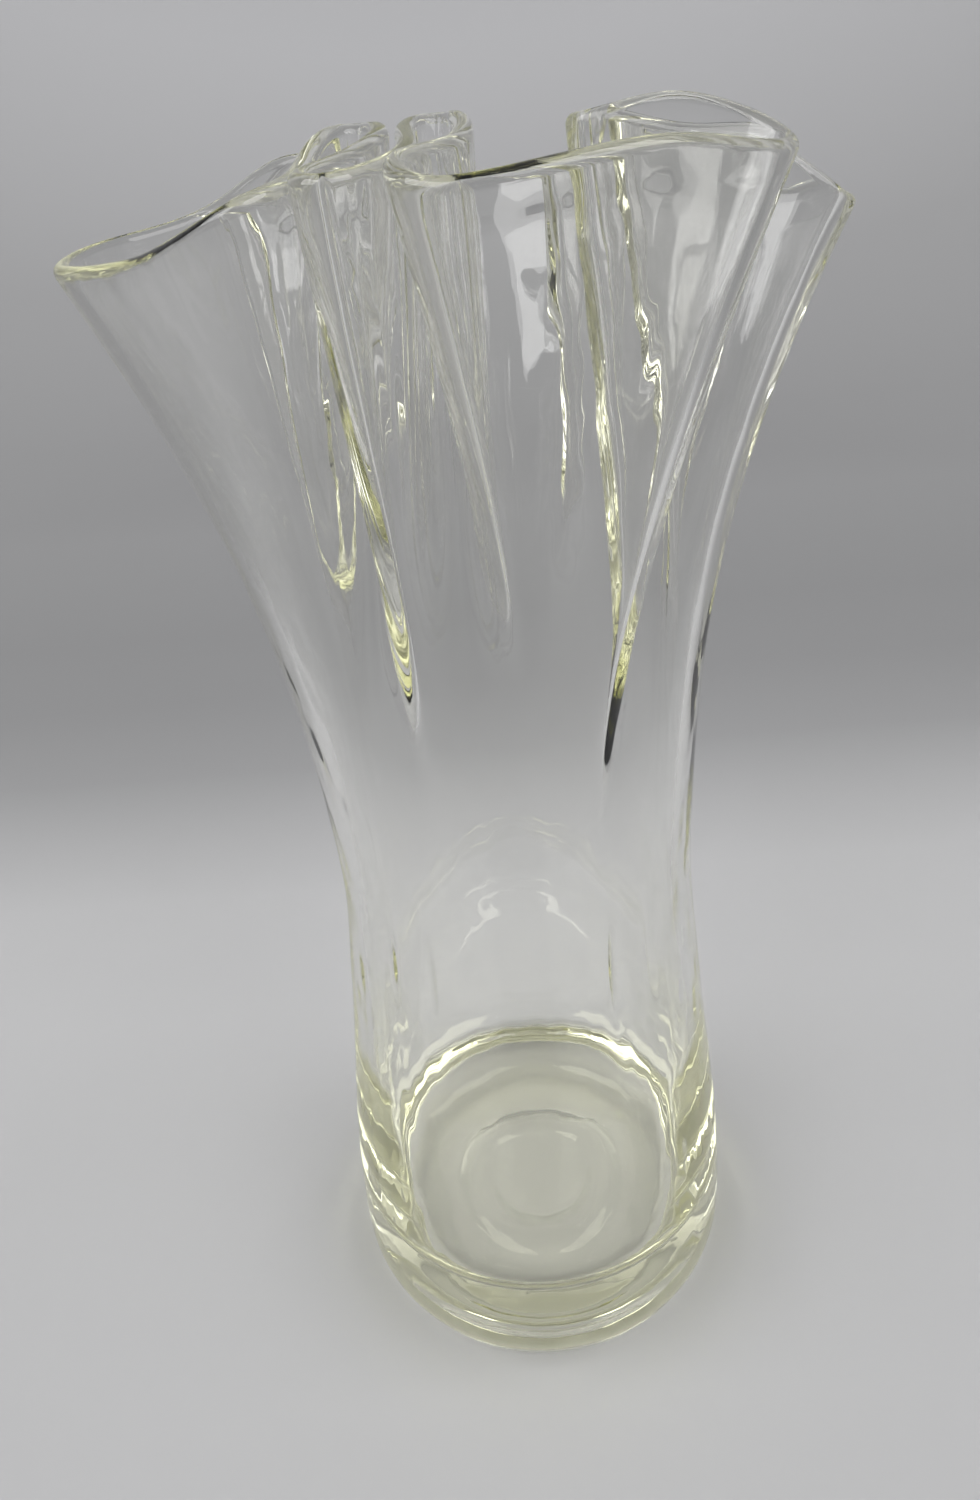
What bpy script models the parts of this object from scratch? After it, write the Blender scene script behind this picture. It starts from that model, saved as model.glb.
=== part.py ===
"""Handkerchief vase: one blown piece of clear glass with a thick round base and a folded rim.

Lengths are in millimetres and become metres at the end. +Z is up, the vase stands on z = 0 and its front
is at -Y.
"""
import bpy
import numpy as np

MM = 0.001

# Base and lower body, turned shape
BASE_RADIUS = 47.0
FOOT_RADIUS = 33.0
BASE_ROUND_HEIGHT = 14.0
WAIST_RADIUS = 38.8
WAIST_HEIGHT = 122.0
FOLDS_START = 76.0

# Ring-shaped hollow in the underside, round a flat middle
PAD_RADIUS = 12.9
HOLLOW_RADIUS = 23.7
HOLLOW_DEPTH = 1.2

# Rim: the farthest point of its middle line from the axis, and the highest
RIM_REACH = 61.8
RIM_TOP = 254.5

# Inside of the vase
FLOOR_HEIGHT = 26.0
FLOOR_FLAT_RADIUS = 35.0
FLOOR_FILLET_HEIGHT = 6.0
WALL_LOW = 6.0
WALL_HIGH = 3.8
WALL_RIM = 2.7

# How folds deepen and lobes spread sideways towards the rim
FOLD_POWER = 1.35
SPREAD_POWER = 1.8

# Half the width of a fold: its inner end at the rim, then its end, flanks and edges where it starts
FOLD_END_HALF = 2.2
LOW_END_HALF = 3.0
LOW_FLANK_HALF = 5.2
LOW_EDGE_HALF = 8.0

# How far a fold's inner end bulges past its two corners, as a share of FOLD_END_HALF
FOLD_END_ROUND = 0.8

# Lengths over which the soft wall evened out its bends, low down and at the rim
SOFT_LOW = 9.0
SOFT_RIM = 1.5

# Columns around the rim and rows up each face
COLUMNS = 150
FINE_COLUMNS = 1200
BODY_ROWS = 4
FOLDED_ROWS = 9
HOLLOW_ROWS = 4
FILLET_ROWS = 3
BEAD_ROWS = 3

# Each row is a lobe of the rim and the fold after it, going anticlockwise from the left.
# Lobe: points (x, y, z) on its rim, height where its flare starts, power of the flare.
# Fold: left flank, inner end and right flank (x, y, z) at the rim, bearing in degrees, height where it starts.
# They are drawn at the size above, and follow RIM_REACH and RIM_TOP when those change.
LOBES = [
    (((-56, -9, 243), (-58.5, -20, 241), (-50, -31, 240.5), (-37, -43.5, 242.5), (-25.5, -51.5, 246.5)),
     112, 2.3,
     (-20, -40, 249.5), (-13.4, -28, 254), (-14.2, -41.5, 250.5), -36, 100),
    (((-18.5, -51, 248.5), (-15.5, -55.5, 248), (-12, -52, 248.5)), 120, 1.6,
     (-6.5, -39, 251.5), (-2.4, -26.5, 254.5), (-0.5, -40, 251.5), -8, 138),
    (((-7.5, -54.5, 249), (-4.5, -61, 247), (8, -60.5, 247.5), (24, -51.5, 249), (38, -37.5, 248),
      (42.5, -29.5, 249)), 120, 2.3,
     (30.5, -23.5, 254.5), (17, -20.5, 253.5), (31, -16.5, 251), 34, 96),
    (((45, -14.5, 248), (54, -15, 242), (58, -7, 241), (50.5, 8, 242)), 128, 2.6,
     (37, 6, 246), (25.5, 7, 250), (36, 13, 246), 98, 150),
    (((48, 18, 243), (53, 27, 242), (43, 42, 242), (33, 42, 243)), 125, 2.0,
     (25, 32, 246), (17, 22, 250), (22, 37, 246), 146, 150),
    (((28, 48, 243), (17, 56, 242), (0, 57, 240), (-4.5, 48, 239.5)), 120, 1.9,
     (-5.5, 38, 243.5), (-8, 27, 249), (-12, 38, 246), 196, 150),
    (((-17, 48, 243), (-29, 52, 242), (-43, 41, 242), (-46, 28, 243)), 115, 1.8,
     (-37, 20, 247), (-27, 12.5, 253), (-39, 7, 248), 246, 150),
]

for old in list(bpy.data.objects):
    bpy.data.objects.remove(old, do_unlink=True)


def rim_points():
    """Rows for every point the rim runs through: x, y, z, low bearing, low bearing of its mouth, rim bearing
    of its mouth, start height and power. A lobe point is its own mouth."""
    rows = []
    low = np.degrees(np.array([LOW_END_HALF, LOW_FLANK_HALF, LOW_EDGE_HALF]) / WAIST_RADIUS)
    count = len(LOBES)
    drawn = np.array([point for row in LOBES for point in (*row[0], *row[3:6])], float)
    widen = RIM_REACH / np.hypot(drawn[:, 0], drawn[:, 1]).max()
    lift = RIM_TOP / drawn[:, 2].max()
    size = np.array([widen, widen, lift])
    for k, (lobe, flare_start, flare_power, left, tip, right, bearing, fold_start) in enumerate(LOBES):
        before = LOBES[k - 1][6] - (360 if k == 0 else 0)
        points = np.array(lobe) * size
        left, tip, right = np.array((left, tip, right)) * size
        length = np.concatenate([[0.0], np.cumsum(np.hypot(*np.diff(points[:, :2], axis=0).T))])
        first, last = before + low[2], bearing - low[2]
        for point, share in zip(points, length / length[-1]):
            here = first + share * (last - first)
            away = np.degrees(np.arctan2(point[0], -point[1]))
            away += 360 * round((here - away) / 360)
            rows.append((*point, here, here, away, flare_start * lift, flare_power))
        edge_a, edge_b = points[-1], np.array(LOBES[(k + 1) % count][0][0]) * size
        middle = (edge_a + edge_b) / 2
        mouth = np.degrees(np.arctan2(middle[0], -middle[1]))
        mouth += 360 * round((bearing - mouth) / 360)
        across = np.array([edge_b[0] - edge_a[0], edge_b[1] - edge_a[1], 0.0])
        across *= FOLD_END_HALF / np.linalg.norm(across)
        inward = np.array([tip[0] - middle[0], tip[1] - middle[1], 0.0])
        inward *= FOLD_END_HALF / np.linalg.norm(inward)
        slot = (left, tip - across, tip + FOLD_END_ROUND * inward, tip + across, right)
        for point, offset in zip(slot, (-low[1], -low[0], 0.0, low[0], low[1])):
            rows.append((*point, bearing + offset, bearing, mouth, fold_start * lift, FOLD_POWER))
    return np.array(rows, float)


def spline_weights(knots, period, u):
    """Weights that take values at the knots to values at u on a closed cubic spline."""
    n = len(knots)
    step = np.diff(np.append(knots, knots[0] + period))
    left = np.zeros((n, n))
    right = np.zeros((n, n))
    for i in range(n):
        before, after = step[i - 1], step[i]
        left[i, i - 1] += before
        left[i, i] += 2 * (before + after)
        left[i, (i + 1) % n] += after
        right[i, i - 1] += 6 / before
        right[i, i] -= 6 / before + 6 / after
        right[i, (i + 1) % n] += 6 / after
    bend = np.linalg.solve(left, right)
    u = (u - knots[0]) % period + knots[0]
    i = np.clip(np.searchsorted(knots, u, side="right") - 1, 0, n - 1)
    j = (i + 1) % n
    width = step[i]
    a = (knots[i] + width - u) / width
    b = 1 - a
    one = np.eye(n)
    curve_a = ((a ** 3 - a) * width ** 2 / 6)[:, None]
    curve_b = ((b ** 3 - b) * width ** 2 / 6)[:, None]
    return a[:, None] * one[i] + b[:, None] * one[j] + curve_a * bend[i] + curve_b * bend[j]


def smooth_through(xs, ys, x):
    """Rising cubic through rising points, with no overshoot."""
    step = np.diff(xs)
    rise = np.diff(ys) / step
    slope = np.empty(len(xs))
    w1 = 2 * step[1:] + step[:-1]
    w2 = step[1:] + 2 * step[:-1]
    slope[1:-1] = (w1 + w2) / (w1 / rise[:-1] + w2 / rise[1:])
    slope[0] = slope[-1] = rise[0]
    i = np.clip(np.searchsorted(xs, x, side="right") - 1, 0, len(step) - 1)
    q = (x - xs[i]) / step[i]
    start = (2 * q ** 3 - 3 * q ** 2 + 1) * ys[i] + (q ** 3 - 2 * q ** 2 + q) * step[i] * slope[i]
    finish = (3 * q ** 2 - 2 * q ** 3) * ys[i + 1] + (q ** 3 - q ** 2) * step[i] * slope[i + 1]
    return start + finish


def outer_radius(z):
    """Outer radius of the turned body from the top of the rounded base edge to the waist and above."""
    u = np.clip((z - BASE_ROUND_HEIGHT) / (WAIST_HEIGHT - BASE_ROUND_HEIGHT), 0, 1)
    return WAIST_RADIUS + (BASE_RADIUS - WAIST_RADIUS) * (0.5 + 0.5 * np.cos(np.pi * u))


RIM = rim_points()
CHORDS = np.hypot(*(np.roll(RIM[:, :2], -1, axis=0) - RIM[:, :2]).T)
KNOTS = np.concatenate([[0.0], np.cumsum(CHORDS)[:-1]])
PERIOD = CHORDS.sum()
TURN_U = np.concatenate([KNOTS - PERIOD, KNOTS, KNOTS + PERIOD])
TURN_BEARING = np.concatenate([RIM[:, 3] - 360, RIM[:, 3], RIM[:, 3] + 360])


def wall_half(t):
    """Half the wall thickness, t from 0 where the folds may start to 1 at the rim."""
    return (WALL_HIGH + (WALL_RIM - WALL_HIGH) * np.clip(t, 0, 1)) / 2


def middle_surface(u, t):
    """Middle of the wall above FOLDS_START: rows for t, columns for u.

    Every rim point has a path down to the round body: its mouth's bearing goes back to its low bearing, and
    its radius and its place in the fold follow the growth of the fold or flare. A closed spline joins them."""
    weights = spline_weights(KNOTS, PERIOD, u)
    rim_x, rim_y, rim_z, low, low_mouth, mouth, start, power = RIM.T
    rim_radius = np.hypot(rim_x, rim_y)
    rim_bearing = np.degrees(np.arctan2(rim_x, -rim_y))
    rim_bearing += 360 * np.round((mouth - rim_bearing) / 360)
    t = t[:, None]
    z_k = FOLDS_START + t * (rim_z - FOLDS_START)
    begin = (start - FOLDS_START) / (rim_z - FOLDS_START)
    grown = np.clip((t - begin) / (1 - begin), 0, None) ** power
    spread = np.clip((t - 0.1) / 0.9, 0, None) ** SPREAD_POWER
    body_k = outer_radius(z_k) - wall_half(t)
    radius_k = body_k + grown * (rim_radius - body_k)
    bearing_k = low + spread * (mouth - low_mouth) + grown * ((rim_bearing - mouth) - (low - low_mouth))
    x_k = radius_k * np.sin(np.radians(bearing_k))
    y_k = -radius_k * np.cos(np.radians(bearing_k))
    low_x, low_y = np.sin(np.radians(low)), -np.cos(np.radians(low))
    z = FOLDS_START + t * ((weights @ rim_z)[None, :] - FOLDS_START)
    round_part = np.clip((0.78 - t) / 0.49, 0, 1)
    round_part = round_part ** 2 * (3 - 2 * round_part)
    bearing = np.radians(smooth_through(TURN_U, TURN_BEARING, u % PERIOD))
    body = outer_radius(z) - wall_half(t)
    x = x_k @ weights.T + round_part * body * (np.sin(bearing) - weights @ low_x)
    y = y_k @ weights.T + round_part * body * (-np.cos(bearing) - weights @ low_y)
    rows = np.stack([x, y, z], axis=-1)
    for row, height in zip(rows, t[:, 0]):
        soften(row, height)
    return rows


def soften(row, t):
    """Evens out the bends of one closed row along its own length, less towards the rim, and not on the round
    body."""
    step = np.linalg.norm(np.roll(row, -1, axis=0) - row, axis=1)
    total = step.sum()
    place = np.concatenate([[0.0], np.cumsum(step)[:-1]])
    apart = np.abs(place[:, None] - place[None, :])
    apart = np.minimum(apart, total - apart)
    reach = SOFT_LOW + (SOFT_RIM - SOFT_LOW) * np.clip(t, 0, 1) ** 2
    weights = np.exp(-0.5 * (apart / reach) ** 2) * (step + np.roll(step, 1))
    even = (weights @ row[:, :2]) / weights.sum(axis=1, keepdims=True)
    share = np.clip((t - 0.1) / 0.2, 0, 1)
    row[:, :2] += share * share * (3 - 2 * share) * (even - row[:, :2])


def unit(vectors):
    """The same directions, one long."""
    return vectors / np.linalg.norm(vectors, axis=-1, keepdims=True)


def chosen_columns(ring):
    """Numbers of the fine columns to keep, closer together where the rim turns sharply."""
    step = np.roll(ring, -1, axis=0) - ring
    length = np.linalg.norm(step, axis=1)
    ahead = unit(step)
    turn = np.arccos(np.clip((ahead * np.roll(ahead, 1, axis=0)).sum(axis=1), -1, 1))
    window = np.exp(-0.5 * (np.arange(-24, 25) / 8.0) ** 2)
    window /= window.sum()
    turn = np.convolve(np.concatenate([turn[-24:], turn, turn[:24]]), window, mode="valid")
    load = length / length.sum() + 1.5 * turn / turn.sum()
    reach = np.concatenate([[0.0], np.cumsum(load)])
    wanted = np.arange(COLUMNS) / COLUMNS * reach[-1]
    return np.searchsorted(reach, wanted, side="right") - 1


def turned_rings(profile, bearing):
    """Rings of the turned body for (radius, height) pairs."""
    around = np.stack([np.sin(bearing), -np.cos(bearing), np.zeros_like(bearing)], axis=-1)
    return [r * around + (0, 0, z) for r, z in profile]


fine = np.linspace(0, PERIOD, FINE_COLUMNS + 1)[:-1]

# Wall with the folds: both faces stand half a wall off its middle
t_rows = np.linspace(0, 1, FOLDED_ROWS + 1) ** 0.85
middle = middle_surface(fine, t_rows)
along = np.roll(middle, -1, axis=1) - np.roll(middle, 1, axis=1)
up = unit(middle_surface(fine, t_rows + 1e-3) - middle_surface(fine, t_rows - 1e-3))
outward = unit(np.cross(along, up))
kept = chosen_columns(middle[-1])
middle, up, outward = middle[:, kept], up[:, kept], outward[:, kept]
bearing = np.radians(smooth_through(TURN_U, TURN_BEARING, fine[kept]))
half = wall_half(t_rows)[:, None, None]
outside = middle + outward * half
inside = middle - outward * half

# Rounded edge of the rim
bead = []
for k in range(1, BEAD_ROWS + 1):
    angle = np.pi * k / (BEAD_ROWS + 1)
    bead.append(middle[-1] + (outward[-1] * np.cos(angle) + up[-1] * np.sin(angle)) * half[-1])

# Turned outside, from the middle of the underside up, and turned inside, from the folds down
shares = np.linspace(0, 1, HOLLOW_ROWS + 1)
edge = [(PAD_RADIUS + (HOLLOW_RADIUS - PAD_RADIUS) * s, HOLLOW_DEPTH * np.sin(np.pi * s)) for s in shares]
angles = np.linspace(0, np.pi / 2, 4)
overhang = BASE_RADIUS - FOOT_RADIUS
edge += [(FOOT_RADIUS + overhang * np.sin(a), BASE_ROUND_HEIGHT * (1 - np.cos(a))) for a in angles]
heights = np.linspace(BASE_ROUND_HEIGHT, FOLDS_START, BODY_ROWS + 1)[1:-1]
edge += [(outer_radius(h), h) for h in heights]

fillet_top = FLOOR_HEIGHT + FLOOR_FILLET_HEIGHT


def inner_radius(z):
    """Inner radius of the turned body, from the top of the floor's fillet to where the folds start."""
    u = (z - fillet_top) / (FOLDS_START - fillet_top)
    return outer_radius(z) - (WALL_LOW + (WALL_HIGH - WALL_LOW) * u)


heights = np.linspace(FOLDS_START, fillet_top, BODY_ROWS)[1:]
cavity = [(inner_radius(h), h) for h in heights]
fillet = np.linspace(0, np.pi / 2, FILLET_ROWS + 1)[1:]
reach = inner_radius(fillet_top) - FLOOR_FLAT_RADIUS
for a in fillet:
    cavity.append((FLOOR_FLAT_RADIUS + reach * np.cos(a), fillet_top - FLOOR_FILLET_HEIGHT * np.sin(a)))

rings = turned_rings(edge, bearing)
rings += list(outside) + bead + list(inside[::-1])
rings += turned_rings(cavity, bearing)

verts = [(0.0, 0.0, 0.0)]
for ring in rings:
    verts.extend(map(tuple, ring))
verts.append((0.0, 0.0, FLOOR_HEIGHT))

faces = []
for k in range(COLUMNS):
    nxt = (k + 1) % COLUMNS
    faces.append((0, 1 + nxt, 1 + k))
    for r in range(len(rings) - 1):
        a = 1 + r * COLUMNS
        b = a + COLUMNS
        faces.append((a + k, a + nxt, b + nxt, b + k))
    last = 1 + (len(rings) - 1) * COLUMNS
    faces.append((last + k, last + nxt, len(verts) - 1))

glass = bpy.data.materials.new("clear soda-lime glass")
glass.use_nodes = True
shader = glass.node_tree.nodes["Principled BSDF"]
shader.inputs["Base Color"].default_value = (0.86, 0.88, 0.74, 1.0)
shader.inputs["Roughness"].default_value = 0.03
shader.inputs["IOR"].default_value = 1.52
shader.inputs["Transmission Weight"].default_value = 1.0

mesh = bpy.data.meshes.new("vase")
mesh.from_pydata([(x * MM, y * MM, z * MM) for x, y, z in verts], [], faces)
mesh.materials.append(glass)
for polygon in mesh.polygons:
    polygon.use_smooth = True
mesh.update()
vase = bpy.data.objects.new("vase", mesh)
bpy.context.scene.collection.objects.link(vase)
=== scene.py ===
import bpy
import numpy as np
from mathutils import Matrix


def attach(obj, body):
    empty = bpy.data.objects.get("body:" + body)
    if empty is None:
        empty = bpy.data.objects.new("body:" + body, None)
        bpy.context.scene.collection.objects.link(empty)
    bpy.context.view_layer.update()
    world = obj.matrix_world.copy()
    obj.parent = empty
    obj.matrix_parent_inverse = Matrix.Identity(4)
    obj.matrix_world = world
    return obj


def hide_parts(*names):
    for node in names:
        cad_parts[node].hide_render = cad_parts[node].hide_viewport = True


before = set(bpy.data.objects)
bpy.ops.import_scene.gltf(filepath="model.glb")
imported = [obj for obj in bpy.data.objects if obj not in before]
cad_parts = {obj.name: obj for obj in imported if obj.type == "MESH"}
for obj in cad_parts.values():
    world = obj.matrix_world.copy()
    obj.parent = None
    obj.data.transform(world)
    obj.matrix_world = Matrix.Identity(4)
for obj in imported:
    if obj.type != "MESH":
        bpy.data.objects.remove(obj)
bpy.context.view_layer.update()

# Vase. It is one gather of clear glass, blown and shaped by hand: a thick round base, a waisted body, and a
# rim that was flared and let fall into seven deep folds while soft, then fire-polished to a round edge.
# Lengths are in millimetres until the mesh is made.
MM = 0.001
BASE_RADIUS = 47.0
FOOT_RADIUS = 33.0
BASE_ROUND_HEIGHT = 14.0
# Flat middle of the underside, and the ring-shaped hollow round it
PAD_RADIUS = 12.9
HOLLOW_RADIUS = 23.7
HOLLOW_DEPTH = 1.2
WAIST_RADIUS = 38.8
WAIST_HEIGHT = 122.0
FOLDS_START = 76.0
# Inside: floor, its rounded corner, and the wall's thickness low down, where the folds start and at the rim
FLOOR_HEIGHT = 26.0
FLOOR_FLAT_RADIUS = 35.0
FLOOR_FILLET_HEIGHT = 6.0
WALL_LOW = 6.0
WALL_HIGH = 3.8
WALL_RIM = 2.7
# How folds deepen and lobes spread sideways towards the rim
FOLD_POWER = 1.35
SPREAD_POWER = 1.8
# Shares of the folded height: where lobes start to spread, where the round body's form ends and over how much
# it fades
SPREAD_START = 0.1
ROUND_END = 0.78
ROUND_FADE = 0.49
# Half the width of a fold: its inner end at the rim and how far that bulges, then its end, flanks and edges
# where it starts
FOLD_END_HALF = 2.2
FOLD_END_ROUND = 0.8
LOW_END_HALF = 3.0
LOW_FLANK_HALF = 5.2
LOW_EDGE_HALF = 8.0
# Lengths over which the soft wall evened out its bends, low down and at the rim, and the shares of the folded
# height where that starts and over which it sets in
SOFT_LOW = 9.0
SOFT_RIM = 1.5
SOFT_START = 0.1
SOFT_FADE = 0.2
# Grid: columns round the wall, chosen from finer ones by length and by how much the rim turns. The turning
# counts TURN_SHARE times as much as length, and is smoothed by a bell curve TURN_WIDTH fine columns wide that is
# cut off at TURN_REACH. Then rows, from the underside up and in.
COLUMNS = 400
FINE_COLUMNS = 1500
TURN_SHARE = 1.2
TURN_WIDTH = 10.0
TURN_REACH = 30
PAD_ROWS = 5
HOLLOW_ROWS = 20
FOOT_ROWS = 13
CORNER_ROWS = 15
BODY_ROWS = 23
FOLDED_ROWS = 56
BEAD_ROWS = 9
CAVITY_ROWS = 17
FLOOR_ROWS = 9
SMALLEST_RING = 2.0

# Each row is a lobe of the rim and the fold after it, going anticlockwise from the left.
# Lobe: points (x, y, z) on its rim, height where its flare starts, power of the flare.
# Fold: left flank, inner end and right flank (x, y, z) at the rim, bearing in degrees, height of its start.
LOBES = [
    (((-56, -9, 243), (-58.5, -20, 241), (-50, -31, 240.5), (-37, -43.5, 242.5), (-25.5, -51.5, 246.5)),
     112, 2.3,
     (-20, -40, 249.5), (-13.4, -28, 254), (-14.2, -41.5, 250.5), -36, 100),
    (((-18.5, -51, 248.5), (-15.5, -55.5, 248), (-12, -52, 248.5)), 120, 1.6,
     (-6.5, -39, 251.5), (-2.4, -26.5, 254.5), (-0.5, -40, 251.5), -8, 138),
    (((-7.5, -54.5, 249), (-4.5, -61, 247), (8, -60.5, 247.5), (24, -51.5, 249), (38, -37.5, 248),
      (42.5, -29.5, 249)), 120, 2.3,
     (30.5, -23.5, 254.5), (17, -20.5, 253.5), (31, -16.5, 251), 34, 96),
    (((45, -14.5, 248), (54, -15, 242), (58, -7, 241), (50.5, 8, 242)), 128, 2.6,
     (37, 6, 246), (25.5, 7, 250), (36, 13, 246), 98, 150),
    (((48, 18, 243), (53, 27, 242), (43, 42, 242), (33, 42, 243)), 125, 2.0,
     (25, 32, 246), (17, 22, 250), (22, 37, 246), 146, 150),
    (((28, 48, 243), (17, 56, 242), (0, 57, 240), (-4.5, 48, 239.5)), 120, 1.9,
     (-5.5, 38, 243.5), (-8, 27, 249), (-12, 38, 246), 196, 150),
    (((-17, 48, 243), (-29, 52, 242), (-43, 41, 242), (-46, 28, 243)), 115, 1.8,
     (-37, 20, 247), (-27, 12.5, 253), (-39, 7, 248), 246, 150),
]


def unit(vectors):
    """The same directions, one long."""
    return vectors / np.linalg.norm(vectors, axis=-1, keepdims=True)


def ease(share):
    """Smooth step: 3 s squared less 2 s cubed, held at 0 and 1 outside."""
    share = np.clip(share, 0, 1)
    return share * share * (3 - 2 * share)


def rim_points():
    """Rows for every point the rim runs through: x, y, z, low bearing, low bearing of its mouth, rim bearing
    of its mouth, start height and power. A lobe point is its own mouth."""
    rows = []
    low = np.degrees(np.array([LOW_END_HALF, LOW_FLANK_HALF, LOW_EDGE_HALF]) / WAIST_RADIUS)
    for k, (lobe, flare_start, flare_power, left, tip, right, bearing, fold_start) in enumerate(LOBES):
        before = LOBES[k - 1][6] - (360 if k == 0 else 0)
        points = np.array(lobe, float)
        length = np.concatenate([[0.0], np.cumsum(np.hypot(*np.diff(points[:, :2], axis=0).T))])
        first, last = before + low[2], bearing - low[2]
        for point, share in zip(points, length / length[-1]):
            here = first + share * (last - first)
            away = np.degrees(np.arctan2(point[0], -point[1]))
            away += 360 * round((here - away) / 360)
            rows.append((*point, here, here, away, flare_start, flare_power))
        edge_a, edge_b = points[-1], np.array(LOBES[(k + 1) % len(LOBES)][0][0], float)
        middle = (edge_a + edge_b) / 2
        mouth = np.degrees(np.arctan2(middle[0], -middle[1]))
        mouth += 360 * round((bearing - mouth) / 360)
        across = np.array([edge_b[0] - edge_a[0], edge_b[1] - edge_a[1], 0.0])
        across *= FOLD_END_HALF / np.linalg.norm(across)
        inward = np.array([tip[0] - middle[0], tip[1] - middle[1], 0.0])
        inward *= FOLD_END_HALF / np.linalg.norm(inward)
        tip = np.array(tip, float)
        slot = (left, tip - across, tip + FOLD_END_ROUND * inward, tip + across, right)
        for point, offset in zip(slot, (-low[1], -low[0], 0.0, low[0], low[1])):
            rows.append((*point, bearing + offset, bearing, mouth, fold_start, FOLD_POWER))
    return np.array(rows, float)


def spline_weights(knots, period, u):
    """Closed cubic spline: weights that take values at the knots to values at u. The bends at the knots solve
    the usual three-term equations, and a cubic of the two nearest knots and their bends fills each span."""
    n = len(knots)
    step = np.diff(np.append(knots, knots[0] + period))
    before, after = np.roll(step, 1), step
    here, left_of, right_of = np.arange(n), np.arange(n) - 1, (np.arange(n) + 1) % n
    bends, values = np.zeros((n, n)), np.zeros((n, n))
    bends[here, left_of], bends[here, here], bends[here, right_of] = before, 2 * (before + after), after
    values[here, left_of], values[here, right_of] = 6 / before, 6 / after
    values[here, here] = -6 / before - 6 / after
    bend = np.linalg.solve(bends, values)
    u = (u - knots[0]) % period + knots[0]
    i = np.clip(np.searchsorted(knots, u, side="right") - 1, 0, n - 1)
    j, width = (i + 1) % n, step[i]
    a = (knots[i] + width - u) / width
    b = 1 - a
    one = np.eye(n)
    curve_a, curve_b = (a ** 3 - a) * width ** 2 / 6, (b ** 3 - b) * width ** 2 / 6
    return a[:, None] * one[i] + b[:, None] * one[j] + curve_a[:, None] * bend[i] + curve_b[:, None] * bend[j]


def smooth_through(xs, ys, x):
    """Rising cubic through rising points, with no overshoot: slopes are harmonic means of the neighbouring
    rises."""
    step = np.diff(xs)
    rise = np.diff(ys) / step
    slope = np.empty(len(xs))
    w1, w2 = 2 * step[1:] + step[:-1], step[1:] + 2 * step[:-1]
    slope[1:-1] = (w1 + w2) / (w1 / rise[:-1] + w2 / rise[1:])
    slope[0] = slope[-1] = rise[0]
    i = np.clip(np.searchsorted(xs, x, side="right") - 1, 0, len(step) - 1)
    q = (x - xs[i]) / step[i]
    start = (2 * q ** 3 - 3 * q ** 2 + 1) * ys[i] + (q ** 3 - 2 * q ** 2 + q) * step[i] * slope[i]
    finish = (3 * q ** 2 - 2 * q ** 3) * ys[i + 1] + (q ** 3 - q ** 2) * step[i] * slope[i + 1]
    return start + finish


def outer_radius(z):
    """Outer radius of the turned body: half a cosine wave from the base's radius down to the waist's."""
    u = np.clip((z - BASE_ROUND_HEIGHT) / (WAIST_HEIGHT - BASE_ROUND_HEIGHT), 0, 1)
    return WAIST_RADIUS + (BASE_RADIUS - WAIST_RADIUS) * (0.5 + 0.5 * np.cos(np.pi * u))


def wall_half(t):
    """Half the wall thickness, t from 0 where the folds may start to 1 at the rim."""
    return (WALL_HIGH + (WALL_RIM - WALL_HIGH) * np.clip(t, 0, 1)) / 2


def soften(row, t):
    """Evens out the bends of one closed row: each point moves to the mean of its neighbours along the row,
    weighted by a bell curve that narrows towards the rim."""
    step = np.linalg.norm(np.roll(row, -1, axis=0) - row, axis=1)
    total = step.sum()
    place = np.concatenate([[0.0], np.cumsum(step)[:-1]])
    apart = np.abs(place[:, None] - place[None, :])
    apart = np.minimum(apart, total - apart)
    reach = SOFT_LOW + (SOFT_RIM - SOFT_LOW) * np.clip(t, 0, 1) ** 2
    weights = np.exp(-0.5 * (apart / reach) ** 2) * (step + np.roll(step, 1))
    even = (weights @ row[:, :2]) / weights.sum(axis=1, keepdims=True)
    row[:, :2] += ease((t - SOFT_START) / SOFT_FADE) * (even - row[:, :2])


RIM = rim_points()
CHORDS = np.hypot(*(np.roll(RIM[:, :2], -1, axis=0) - RIM[:, :2]).T)
KNOTS = np.concatenate([[0.0], np.cumsum(CHORDS)[:-1]])
PERIOD = CHORDS.sum()
TURN_U = np.concatenate([KNOTS - PERIOD, KNOTS, KNOTS + PERIOD])
TURN_BEARING = np.concatenate([RIM[:, 3] - 360, RIM[:, 3], RIM[:, 3] + 360])


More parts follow.
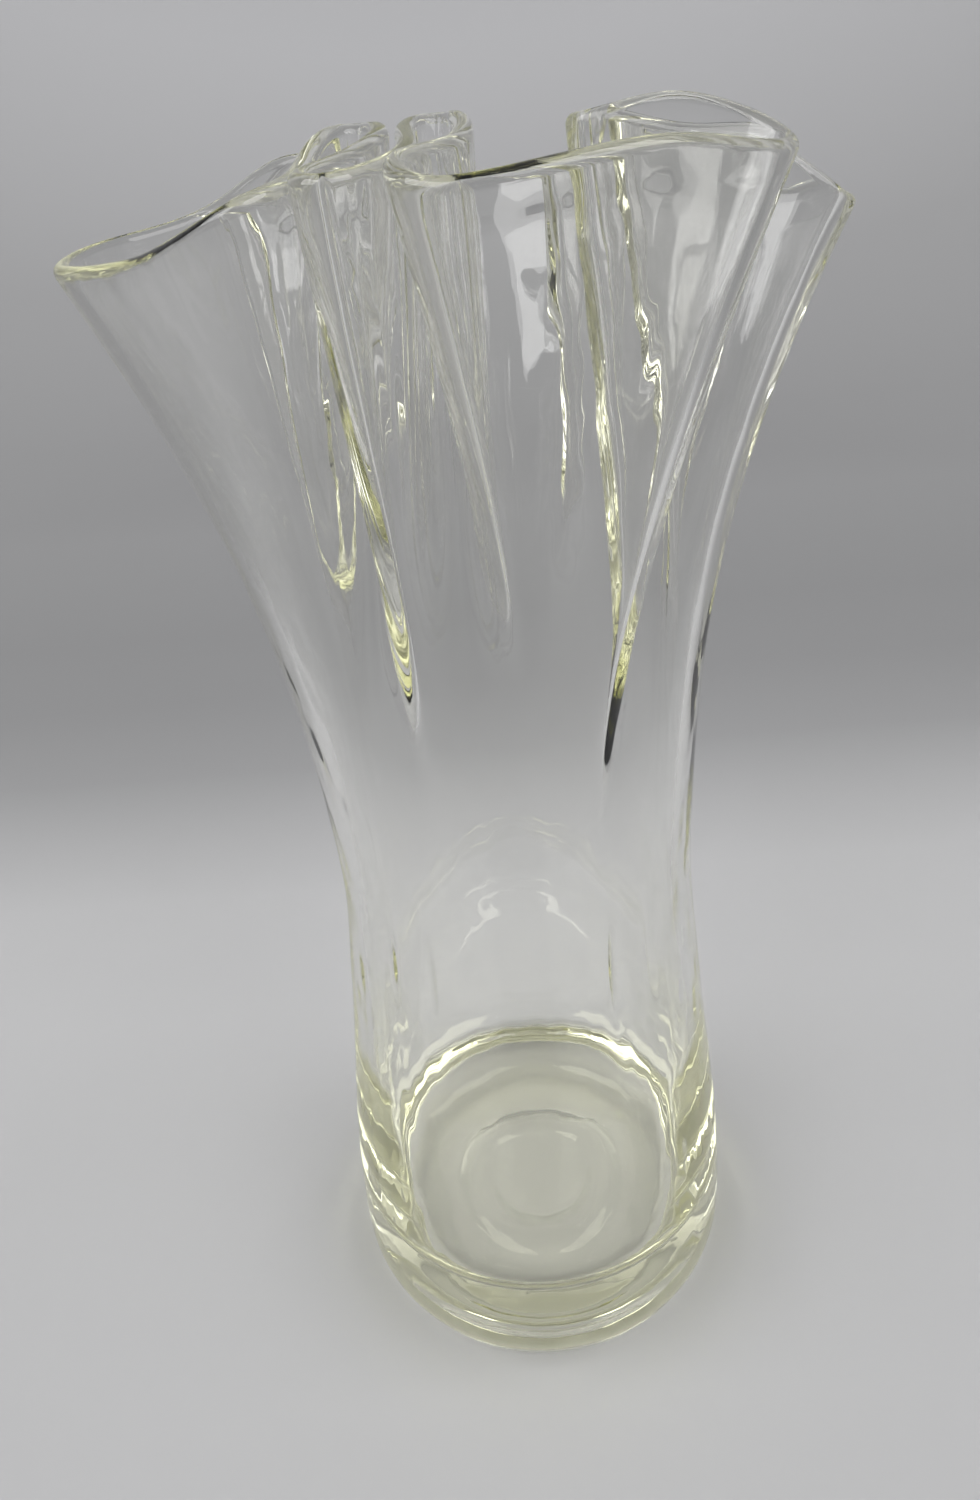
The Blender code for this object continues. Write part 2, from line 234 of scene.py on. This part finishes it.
def folded_wall(u, t):
    """Middle of the wall above the turned body: rows for t, columns for u.

    Each rim point has a path down to the round body. Its bearing is that of its fold's mouth plus its own
    share of the fold, and its radius runs from the body's to the rim's as a power of the height. A closed
    spline joins the paths in each row."""
    weights = spline_weights(KNOTS, PERIOD, u)
    rim_x, rim_y, rim_z, low, low_mouth, mouth, start, power = RIM.T
    rim_radius = np.hypot(rim_x, rim_y)
    rim_bearing = np.degrees(np.arctan2(rim_x, -rim_y))
    rim_bearing += 360 * np.round((mouth - rim_bearing) / 360)
    t = t[:, None]
    z_k = FOLDS_START + t * (rim_z - FOLDS_START)
    begin = (start - FOLDS_START) / (rim_z - FOLDS_START)
    grown = np.clip((t - begin) / (1 - begin), 0, None) ** power
    spread = np.clip((t - SPREAD_START) / (1 - SPREAD_START), 0, None) ** SPREAD_POWER
    body_k = outer_radius(z_k) - wall_half(t)
    radius_k = body_k + grown * (rim_radius - body_k)
    fanned = (rim_bearing - mouth) - (low - low_mouth)
    bearing_k = np.radians(low + spread * (mouth - low_mouth) + grown * fanned)
    z = FOLDS_START + t * ((weights @ rim_z)[None, :] - FOLDS_START)
    round_part = ease((ROUND_END - t) / ROUND_FADE)
    bearing = np.radians(smooth_through(TURN_U, TURN_BEARING, u % PERIOD))
    body = outer_radius(z) - wall_half(t)
    x = (radius_k * np.sin(bearing_k)) @ weights.T
    y = (-radius_k * np.cos(bearing_k)) @ weights.T
    x += round_part * body * (np.sin(bearing) - weights @ np.sin(np.radians(low)))
    y += round_part * body * (-np.cos(bearing) + weights @ np.cos(np.radians(low)))
    rows = np.stack([x, y, z], axis=-1)
    for row, height in zip(rows, t[:, 0]):
        soften(row, height)
    return rows


def chosen_columns(ring):
    """Numbers of the fine columns to keep: equal steps of length plus smoothed turning along the rim."""
    step = np.roll(ring, -1, axis=0) - ring
    length = np.linalg.norm(step, axis=1)
    ahead = unit(step)
    turn = np.arccos(np.clip((ahead * np.roll(ahead, 1, axis=0)).sum(axis=1), -1, 1))
    window = np.exp(-0.5 * (np.arange(-TURN_REACH, TURN_REACH + 1) / TURN_WIDTH) ** 2)
    padded = np.concatenate([turn[-TURN_REACH:], turn, turn[:TURN_REACH]])
    turn = np.convolve(padded, window / window.sum(), mode="valid")
    reach = np.concatenate([[0.0], np.cumsum(length / length.sum() + TURN_SHARE * turn / turn.sum())])
    return np.searchsorted(reach, np.arange(COLUMNS) / COLUMNS * reach[-1], side="right") - 1


def turned(profile, bearing):
    """Rings of a turned surface: each (radius, height) pair carried round through the bearings."""
    profile = np.array(profile)
    around = np.stack([np.sin(bearing), -np.cos(bearing)], axis=-1)
    rings = np.empty((len(profile), len(bearing), 3))
    rings[..., :2] = profile[:, None, :1] * around
    rings[..., 2] = profile[:, 1:]
    return rings


def closed_mesh(name, rings, start, end):
    """A closed mesh from rings of equal length, with a fan of triangles to a point before and after them."""
    count, around = rings.shape[:2]
    here = np.arange(around)
    after = (here + 1) % around
    first = 1 + around * np.arange(count - 1)[:, None]
    quads = np.stack([first + here, first + after, first + around + after, first + around + here], axis=-1)
    last = 1 + around * (count - 1)
    top = np.full(around, 1 + around * count)
    fans = [np.stack([0 * here, 1 + after, 1 + here], axis=-1),
            np.stack([last + here, last + after, top], axis=-1)]
    points = np.vstack([[start], rings.reshape(-1, 3), [end]]) * MM
    mesh = bpy.data.meshes.new(name)
    mesh.from_pydata(points.tolist(), [], quads.reshape(-1, 4).tolist() + np.vstack(fans).tolist())
    mesh.shade_smooth()
    return mesh


fine = np.linspace(0, PERIOD, FINE_COLUMNS + 1)[:-1]
t_rows = np.linspace(0, 1, FOLDED_ROWS + 1)
middle = folded_wall(fine, t_rows)
along = np.roll(middle, -1, axis=1) - np.roll(middle, 1, axis=1)
up = unit(np.gradient(middle, axis=0))
outward = unit(np.cross(along, up))
kept = chosen_columns(middle[-1])
middle, up, outward = middle[:, kept], up[:, kept], outward[:, kept]
bearing = np.radians(smooth_through(TURN_U, TURN_BEARING, fine[kept]))
half = wall_half(t_rows)[:, None, None]
outside = middle + outward * half
inside = middle - outward * half
angle = (np.pi * np.arange(1, BEAD_ROWS + 1) / (BEAD_ROWS + 1))[:, None, None]
bead = middle[-1] + (outward[-1] * np.cos(angle) + up[-1] * np.sin(angle)) * half[-1]

quarter = np.linspace(0, np.pi / 2, CORNER_ROWS + 1)


def underside(r):
    """Height of the underside: flat, with a ring-shaped hollow, half a sine wave, round a flat middle."""
    share = np.clip((r - PAD_RADIUS) / (HOLLOW_RADIUS - PAD_RADIUS), 0, 1)
    return HOLLOW_DEPTH * np.sin(np.pi * share)


foot_radii = np.concatenate([np.linspace(SMALLEST_RING, PAD_RADIUS, PAD_ROWS + 1)[:-1],
                             np.linspace(PAD_RADIUS, HOLLOW_RADIUS, HOLLOW_ROWS + 1)[:-1],
                             np.linspace(HOLLOW_RADIUS, FOOT_RADIUS, FOOT_ROWS + 1)[:-1]])
foot = np.stack([foot_radii, underside(foot_radii)], axis=-1).tolist()
overhang = BASE_RADIUS - FOOT_RADIUS
foot += [(FOOT_RADIUS + overhang * np.sin(a), BASE_ROUND_HEIGHT * (1 - np.cos(a))) for a in quarter]
foot += [(outer_radius(z), z) for z in np.linspace(BASE_ROUND_HEIGHT, FOLDS_START, BODY_ROWS + 1)[1:-1]]
fillet_top = FLOOR_HEIGHT + FLOOR_FILLET_HEIGHT


def inner_radius(z):
    """Inner radius of the turned body, from the top of the floor's fillet to where the folds start."""
    share = (z - fillet_top) / (FOLDS_START - fillet_top)
    return outer_radius(z) - (WALL_LOW + (WALL_HIGH - WALL_LOW) * share)


cavity = [(inner_radius(z), z) for z in np.linspace(FOLDS_START, fillet_top, CAVITY_ROWS + 1)[1:]]
reach = inner_radius(fillet_top) - FLOOR_FLAT_RADIUS
for a in quarter[1:]:
    cavity.append((FLOOR_FLAT_RADIUS + reach * np.cos(a), fillet_top - FLOOR_FILLET_HEIGHT * np.sin(a)))
cavity += [(r, FLOOR_HEIGHT) for r in np.linspace(FLOOR_FLAT_RADIUS, SMALLEST_RING, FLOOR_ROWS + 1)[1:]]

rings = np.concatenate([turned(foot, bearing), outside, bead, inside[::-1], turned(cavity, bearing)])
vase = bpy.data.objects.new("glass_vase", closed_mesh("glass_vase", rings, (0, 0, 0), (0, 0, FLOOR_HEIGHT)))
bpy.context.scene.collection.objects.link(vase)


# Clear soda-lime glass, free-blown and fire-polished. Its skin is smooth and mirror-bright, with a low ripple
# drawn out along the height, and a faint straw tint gathers where light goes a long way through it, as in the
# thick base.
def linear(hex_colour):
    """sRGB hex to a linear colour with full alpha."""
    c = np.array([int(hex_colour[i:i + 2], 16) for i in (1, 3, 5)]) / 255
    return (*np.where(c <= 0.04045, c / 12.92, ((c + 0.055) / 1.055) ** 2.4), 1.0)


def add(tree, kind, links=None, **settings):
    """Adds a node, sets its sockets and properties by name, and links the sockets named in links."""
    node = tree.nodes.new(kind)
    for name, value in settings.items():
        socket = node.inputs.get(name.replace("_", " "))
        if socket is not None:
            socket.default_value = value
        else:
            setattr(node, name, value)
    for name, source in (links or {}).items():
        tree.links.new(source, node.inputs[name])
    return node


# Ripple: noise cells per metre across, their share of that along the height, and the relief in metres
RIPPLE_SCALE = 70.0
RIPPLE_STRETCH = 0.35
RIPPLE_RELIEF = 0.0003

glass = bpy.data.materials.new("free-blown clear soda-lime glass")
glass.use_nodes = True
tree = glass.node_tree
tree.nodes.clear()
place = add(tree, "ShaderNodeTexCoord")
drawn = add(tree, "ShaderNodeVectorMath", {0: place.outputs["Object"]}, operation="MULTIPLY")
drawn.inputs[1].default_value = (1.0, 1.0, RIPPLE_STRETCH)
ripple = add(tree, "ShaderNodeTexNoise", {"Vector": drawn.outputs["Vector"]}, Scale=RIPPLE_SCALE,
             Detail=2.0, Roughness=0.5)
skin = add(tree, "ShaderNodeBump", {"Height": ripple.outputs["Fac"]}, Strength=1.0, Distance=RIPPLE_RELIEF)
shader = add(tree, "ShaderNodeBsdfPrincipled", {"Normal": skin.outputs["Normal"]},
             Base_Color=linear("#ffffff"), Roughness=0.0, IOR=1.52, Transmission_Weight=1.0)
tint = add(tree, "ShaderNodeVolumeAbsorption", Color=linear("#fcfcf5"), Density=48.0)
add(tree, "ShaderNodeOutputMaterial", {"Surface": shader.outputs["BSDF"], "Volume": tint.outputs["Volume"]})
vase.data.materials.append(glass)
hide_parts("vase")
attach(vase, "root")

# Floor and backdrop. One pale matt sheet, with light and shade painted on it, sweeps from the floor up into a
# round wall, so every side sees it.
SWEEP_FLAT = 900.0
SWEEP_RADIUS = 1500.0
SWEEP_HEIGHT = 1500.0
SWEEP_GAP = 0.3
# Painted light and shade along the sweep, by how far back plus how high they are: pale round the vase, a darker
# band behind it, lighter again up the wall, darkest behind the camera
SWEEP_PAINTED_SHADE = [
    (-1500, "#808081"), (-500, "#8c8c8d"), (-150, "#b3b3b4"), (-60, "#b7b7b8"), (0, "#bdbdbe"),
    (80, "#c3c3c4"), (150, "#c1c1c2"), (200, "#b3b3b4"), (260, "#9f9fa0"), (340, "#979798"),
    (450, "#989899"), (700, "#a7a7a8"), (1000, "#ababac"), (1400, "#b8b8b9"), (1900, "#d7d7d9"),
    (3000, "#dcdcde"),
]
bend = SWEEP_RADIUS - SWEEP_FLAT
floor_profile = [(r, 0.0) for r in np.linspace(20, SWEEP_FLAT, 12)]
floor_profile += [(SWEEP_FLAT + bend * np.sin(a), bend * (1 - np.cos(a))) for a in quarter[1:]]
floor_profile += [(SWEEP_RADIUS, z) for z in np.linspace(bend, SWEEP_HEIGHT, 8)[1:]]
circle = np.linspace(0, 2 * np.pi, 97)[:-1]
sweep_rings = turned(floor_profile, circle)
around = len(circle)
here = np.arange(around)
after = (here + 1) % around
first = 1 + around * np.arange(len(floor_profile) - 1)[:, None]
quads = np.stack([first + here, first + around + here, first + around + after, first + after], axis=-1)
fan = np.stack([0 * here, 1 + here, 1 + after], axis=-1)
mesh = bpy.data.meshes.new("sweep")
sweep_points = np.vstack([[(0, 0, 0)], sweep_rings.reshape(-1, 3)]) - (0, 0, SWEEP_GAP)
mesh.from_pydata((sweep_points * MM).tolist(), [], quads.reshape(-1, 4).tolist() + fan.tolist())
mesh.shade_smooth()
sweep = bpy.data.objects.new("sweep", mesh)
bpy.context.scene.collection.objects.link(sweep)

paper = bpy.data.materials.new("matt backdrop paper")
paper.use_nodes = True
tree = paper.node_tree
tree.nodes.clear()
place = add(tree, "ShaderNodeTexCoord")
along_sweep = add(tree, "ShaderNodeVectorMath", {0: place.outputs["Object"]}, operation="DOT_PRODUCT")
along_sweep.inputs[1].default_value = (0.0, 1.0, 1.0)
# The painted light and shade: a ramp turns how far back plus how high a point is into the sheet's colour.
share = add(tree, "ShaderNodeMapRange", {"Value": along_sweep.outputs["Value"]},
            From_Min=SWEEP_PAINTED_SHADE[0][0] * MM, From_Max=SWEEP_PAINTED_SHADE[-1][0] * MM)
shade = add(tree, "ShaderNodeValToRGB", {"Fac": share.outputs["Result"]})
ramp = shade.color_ramp
span = SWEEP_PAINTED_SHADE[-1][0] - SWEEP_PAINTED_SHADE[0][0]
for stop, colour in SWEEP_PAINTED_SHADE[1:-1]:
    ramp.elements.new((stop - SWEEP_PAINTED_SHADE[0][0]) / span)
for element, (stop, colour) in zip(ramp.elements, SWEEP_PAINTED_SHADE):
    element.position = (stop - SWEEP_PAINTED_SHADE[0][0]) / span
    element.color = linear(colour)
matt = add(tree, "ShaderNodeBsdfPrincipled", {"Base Color": shade.outputs["Color"]}, Roughness=0.9)
add(tree, "ShaderNodeOutputMaterial", {"Surface": matt.outputs["BSDF"]})
sweep.data.materials.append(paper)

# Light: a pale sky over the sweep's open top, and a wide soft lamp high on either side.
world = bpy.data.worlds.new("pale studio")
world.use_nodes = True
bpy.context.scene.world = world
world.node_tree.nodes["Background"].inputs["Color"].default_value = linear("#ffffff")
world.node_tree.nodes["Background"].inputs["Strength"].default_value = 0.36


def soft_lamp(name, centre, aim, width, height, power):
    """A rectangular lamp in millimetres and watts, facing the point it is aimed at."""
    lamp = bpy.data.lights.new(name, "AREA")
    lamp.shape = "RECTANGLE"
    lamp.size, lamp.size_y = width * MM, height * MM
    lamp.energy = power
    back = unit(np.array(centre, float) - np.array(aim, float))
    side = unit(np.cross((0.0, 0.0, 1.0), back) + (1e-6, 0.0, 0.0))
    turn = np.stack([side, np.cross(back, side), back], axis=1)
    lamp_object = bpy.data.objects.new(name, lamp)
    lamp_object.matrix_world = Matrix.Translation(np.array(centre) * MM) @ Matrix(turn.tolist()).to_4x4()
    bpy.context.scene.collection.objects.link(lamp_object)


soft_lamp("left lamp", (-900, -500, 1100), (0, 0, 100), 1400, 900, 13)
soft_lamp("right lamp", (900, -500, 1100), (0, 0, 100), 1400, 900, 12)

# Camera: close in front of the vase and looking down on it, turned a little to its left and rolled.
CAMERA_PLACE = (0.0, -178.8, 245.6)
PITCH_DOWN, TURN_LEFT, ROLL = np.radians((29.18, 1.16, -5.03))
forward = np.array([-np.sin(TURN_LEFT) * np.cos(PITCH_DOWN), np.cos(TURN_LEFT) * np.cos(PITCH_DOWN),
                    -np.sin(PITCH_DOWN)])
level = np.array([np.cos(TURN_LEFT), np.sin(TURN_LEFT), 0.0])
above = np.cross(level, forward)
camera_x = np.cos(ROLL) * level + np.sin(ROLL) * above
camera_y = -np.sin(ROLL) * level + np.cos(ROLL) * above
lens = bpy.data.cameras.new("camera")
lens.lens = 23.64
lens.sensor_width = 36.0
lens.clip_start, lens.clip_end = 0.01, 20.0
camera = bpy.data.objects.new("camera", lens)
turn = Matrix(np.stack([camera_x, camera_y, -forward], axis=1).tolist()).to_4x4()
camera.matrix_world = Matrix.Translation(np.array(CAMERA_PLACE) * MM) @ turn
bpy.context.scene.collection.objects.link(camera)
bpy.context.scene.camera = camera
bpy.context.scene.view_settings.view_transform = "Standard"
cycles = bpy.context.scene.cycles
cycles.max_bounces = 40
cycles.transmission_bounces = 38
cycles.glossy_bounces = 38
cycles.diffuse_bounces = 3
cycles.blur_glossy = 0.0
